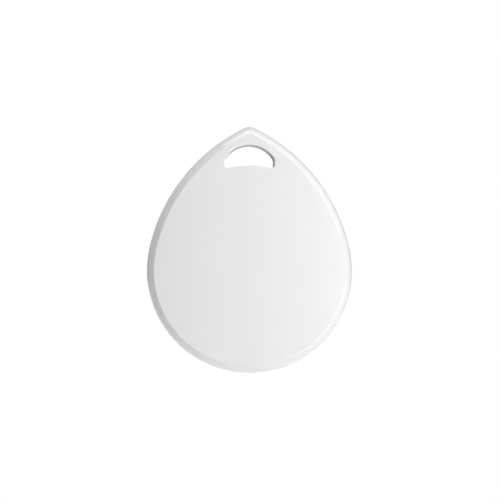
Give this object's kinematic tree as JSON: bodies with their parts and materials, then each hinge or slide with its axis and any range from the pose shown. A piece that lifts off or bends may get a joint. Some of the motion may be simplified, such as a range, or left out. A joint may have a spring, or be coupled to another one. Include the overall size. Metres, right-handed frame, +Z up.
{
  "type": "bluetooth tracker tag",
  "caption": "Drop-shaped white key-ring tracker tag with a ring hole, a flat press face and a twist-off battery door at the back.",
  "frame": {"origin": "top of the ring hole's arch, where a key ring bears, in the middle of the case's depth", "axes": "+Z up towards the tip, -Y out of the flat face, +Y out of the battery door, +X to the right as the face is seen"},
  "size_m": [0.037, 0.0084, 0.0443],
  "materials": {
    "case_white": "glossy white moulding",
    "seal_rubber": "matte grey rubber",
    "cell_steel": "bright nickel-plated steel",
    "cell_seal": "natural nylon",
    "cathode": "matte pressed powder",
    "separator": "matte felt",
    "lithium": "dull grey",
    "contact_gold": "gold-plated spring strip",
    "board_green": "satin solder mask",
    "chip_black": "satin moulding compound",
    "can_silver": "satin metal",
    "ceramic_white": "satin ceramic",
    "capacitor_tan": "satin ceramic with tinned ends",
    "resistor_black": "glossy film on ceramic",
    "buzzer_brass": "polished brass",
    "switch_cream": "satin nylon",
    "screw_steel": "zinc-plated steel",
    "adhesive": "matte adhesive film"
  },
  "bodies": {
    "tag_body": {"face_shell": "case_white", "back_shell": "case_white", "main_board": "board_green", "negative_contact": "contact_gold", "positive_contact": "contact_gold", "radio_chip": "chip_black", "radio_crystal": "can_silver", "clock_crystal": "can_silver", "chip_antenna": "ceramic_white", "buzzer_driver": "chip_black", "boost_inductor": "chip_black", "capacitor_1": "capacitor_tan", "capacitor_2": "capacitor_tan", "capacitor_3": "capacitor_tan", "capacitor_4": "capacitor_tan", "capacitor_5": "capacitor_tan", "capacitor_6": "capacitor_tan", "resistor_1": "resistor_black", "resistor_2": "resistor_black", "resistor_3": "resistor_black", "switch_base": "switch_cream", "switch_dome": "can_silver", "switch_cover": "can_silver", "buzzer_pad": "adhesive", "buzzer_plate": "buzzer_brass", "buzzer_ceramic": "ceramic_white", "buzzer_contact_1": "contact_gold", "buzzer_contact_2": "contact_gold", "board_screw_1": "screw_steel", "board_screw_2": "screw_steel", "board_screw_3": "screw_steel", "board_screw_4": "screw_steel"},
    "seal_ring": {"door_seal": "seal_rubber"},
    "door": {"battery_door": "case_white", "cell_can": "cell_steel", "cell_cap": "cell_steel", "cell_grommet": "cell_seal", "cell_cathode": "cathode", "cell_separator": "separator", "cell_anode": "lithium"},
    "plunger": {"switch_plunger": "chip_black"}
  },
  "joints": [
    {"name": "door_rise", "type": "slide", "parent": "tag_body", "child": "seal_ring", "axis": [0, 1, 0], "range_m": [0, 0.006]},
    {"name": "door_turn", "type": "hinge", "parent": "seal_ring", "child": "door", "pos_m": [0, 0, -0.02261], "axis": [0, 1, 0], "range_deg": [0, 180]},
    {"name": "plunger_press", "type": "slide", "parent": "tag_body", "child": "plunger", "axis": [0, 1, 0], "range_m": [0, 0.00025], "stiffness_N_per_m": 6400, "deforming": ["switch_dome"]}
  ],
  "couplings": [
    {"joint": "door_rise", "follows": "door_turn", "m_per_rad": 0.0019099}
  ]
}
